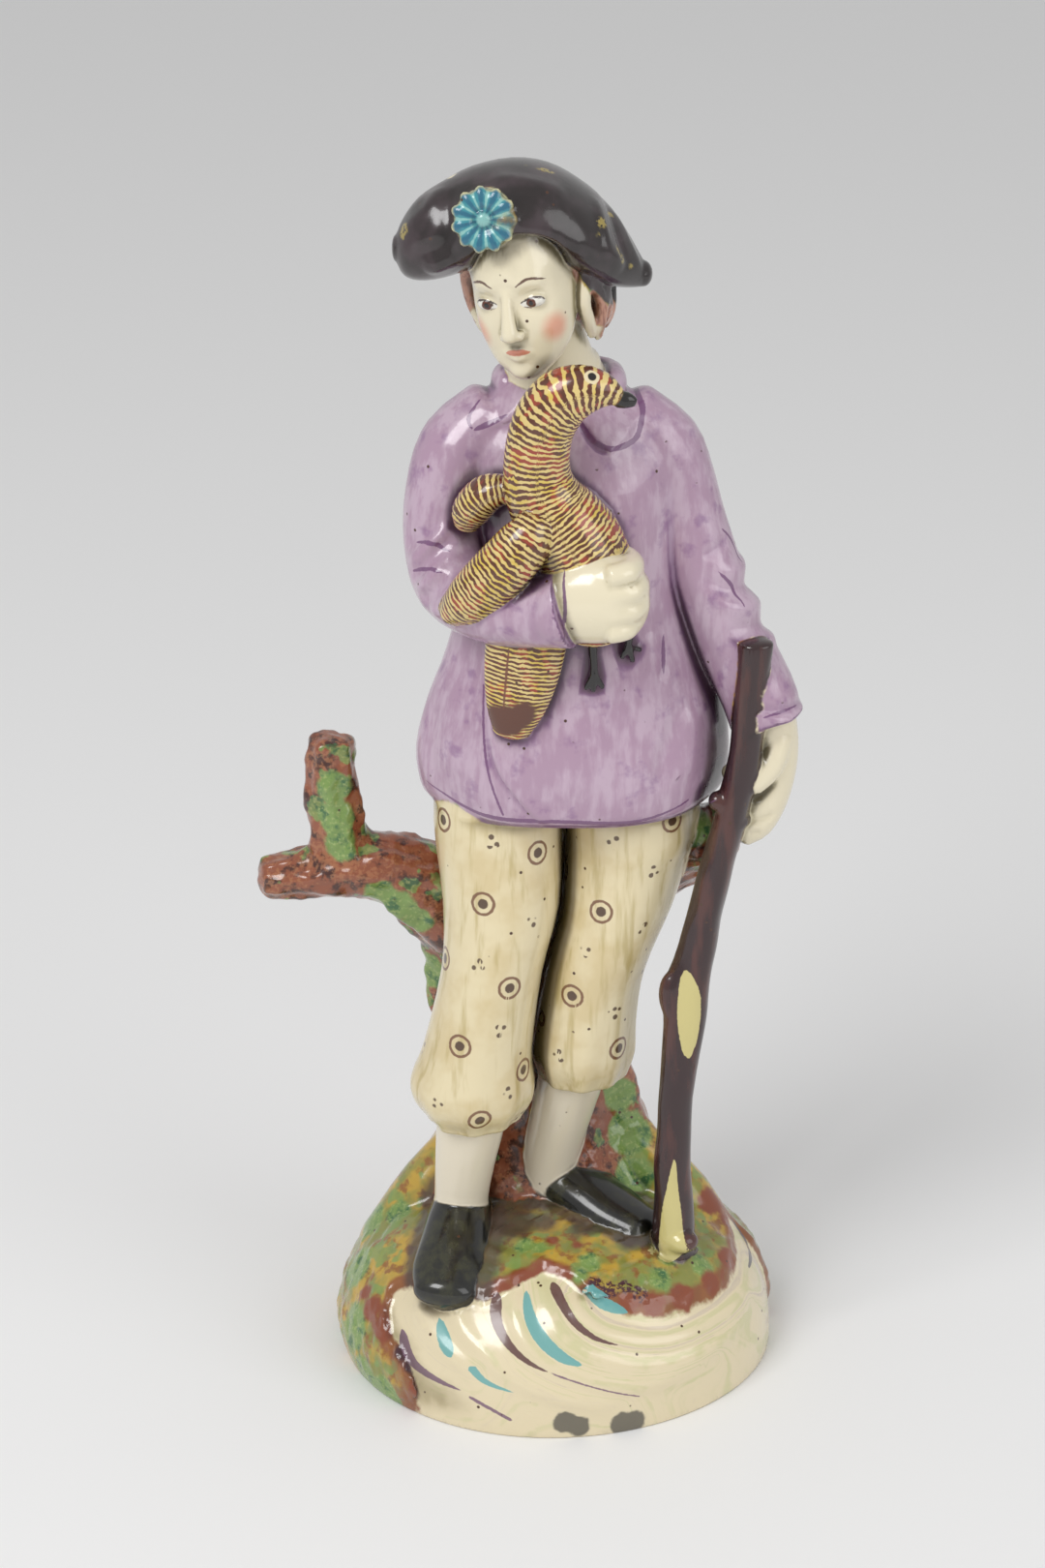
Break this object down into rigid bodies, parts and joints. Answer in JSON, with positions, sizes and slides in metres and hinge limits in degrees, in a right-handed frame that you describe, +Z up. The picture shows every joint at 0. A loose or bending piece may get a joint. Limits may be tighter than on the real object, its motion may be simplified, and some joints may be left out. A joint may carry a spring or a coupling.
{
  "type": "pearlware figure",
  "caption": "Glazed earthenware figure of a countryman in a cocked hat with a bird under one arm, leaning on a staff before a tree stump, on a round watery mound.",
  "frame": {"origin": "centre of the mound's flat underside", "axes": "+Z up through the figure, which faces -Y; +X to the viewer's right"},
  "size_m": [0.0969, 0.074, 0.2299],
  "materials": {
    "pearlware": "gloss"
  },
  "bodies": {
    "root": {"figure": "pearlware"}
  },
  "joints": []
}
